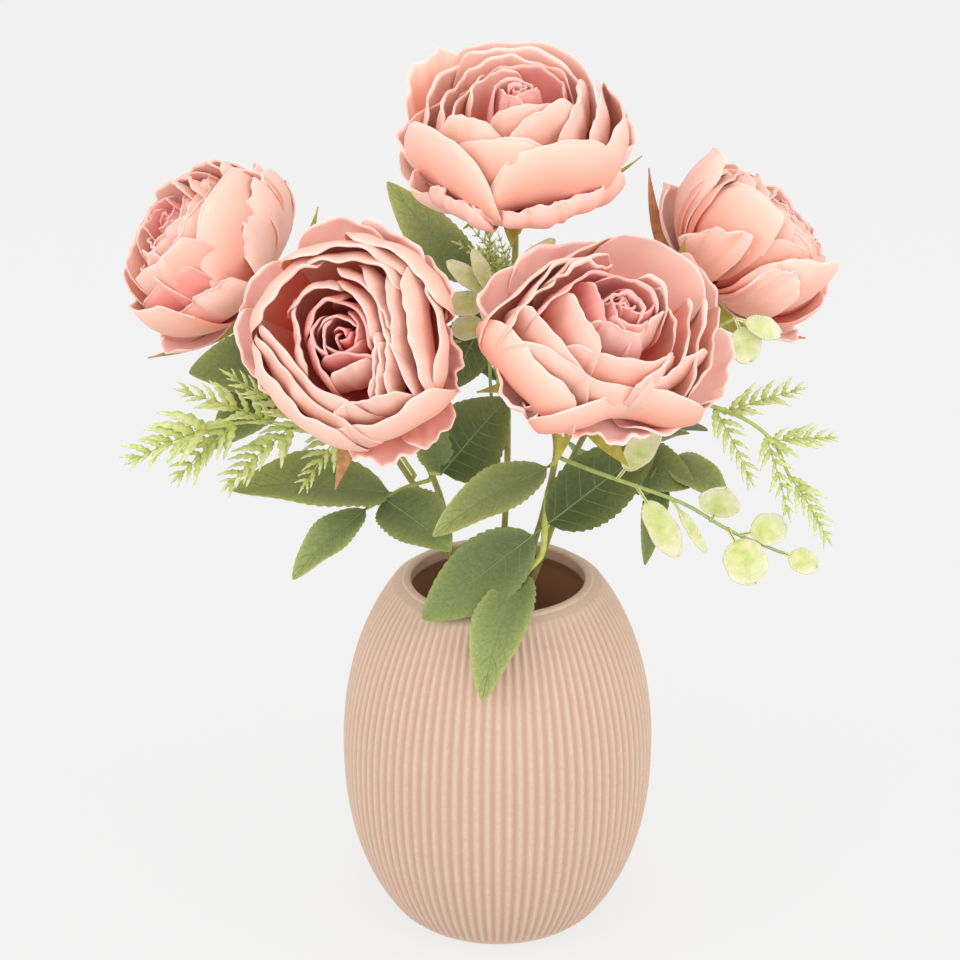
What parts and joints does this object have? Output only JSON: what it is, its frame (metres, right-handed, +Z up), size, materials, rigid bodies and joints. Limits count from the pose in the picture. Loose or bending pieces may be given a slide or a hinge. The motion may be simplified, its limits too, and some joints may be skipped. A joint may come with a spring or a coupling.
{
  "type": "artificial rose bush in a ribbed ceramic vase",
  "caption": "Artificial rose bush with open peach-pink blooms, rose leaves, fern and round-leaved filler on wired stems, standing loose in an egg-shaped ribbed ceramic vase.",
  "frame": {"origin": "centre of the vase's flat underside, which stands on the ground plane", "axes": "+Z up, along the vase's axis; -Y is the front that the picture looks at"},
  "size_m": [0.3241, 0.2058, 0.4026],
  "materials": {
    "blush_ceramic": "matte unglazed blush ceramic",
    "stem_green": "moulded plastic over wire",
    "calyx_green": "moulded soft plastic",
    "petal_pink": "matte cloth petals",
    "leaf_green": "printed cloth leaves",
    "fern_green": "soft moulded fronds",
    "filler_green": "soft moulded round leaves with white flecks",
    "card_white": "plain card"
  },
  "bodies": {
    "root": {"vase": "blush_ceramic", "trunk": "stem_green", "stem_left": "stem_green", "stem_front_left": "stem_green", "stem_top": "stem_green", "stem_front_right": "stem_green", "stem_right": "stem_green", "bloom_left": "petal_pink", "bloom_front_left": "petal_pink", "bloom_top": "petal_pink", "bloom_front_right": "petal_pink", "bloom_right": "petal_pink", "calyx_left": "calyx_green", "calyx_front_left": "calyx_green", "calyx_top": "calyx_green", "calyx_front_right": "calyx_green", "calyx_right": "calyx_green", "leaf_front": "leaf_green", "leaf_front_upper": "leaf_green", "leaf_left": "leaf_green", "leaf_middle_low": "leaf_green", "leaf_behind_left": "leaf_green", "leaf_upper_left": "leaf_green", "leaf_middle": "leaf_green", "leaf_right": "leaf_green", "leaf_back_left": "leaf_green", "leaf_back_middle": "leaf_green", "leaf_back_right": "leaf_green", "fern_left": "fern_green", "fern_right": "fern_green", "fern_top": "fern_green", "fern_back": "fern_green", "filler_right": "filler_green", "filler_top": "filler_green", "filler_under_right": "filler_green", "filler_back": "filler_green", "stem_tag": "card_white"}
  },
  "joints": []
}
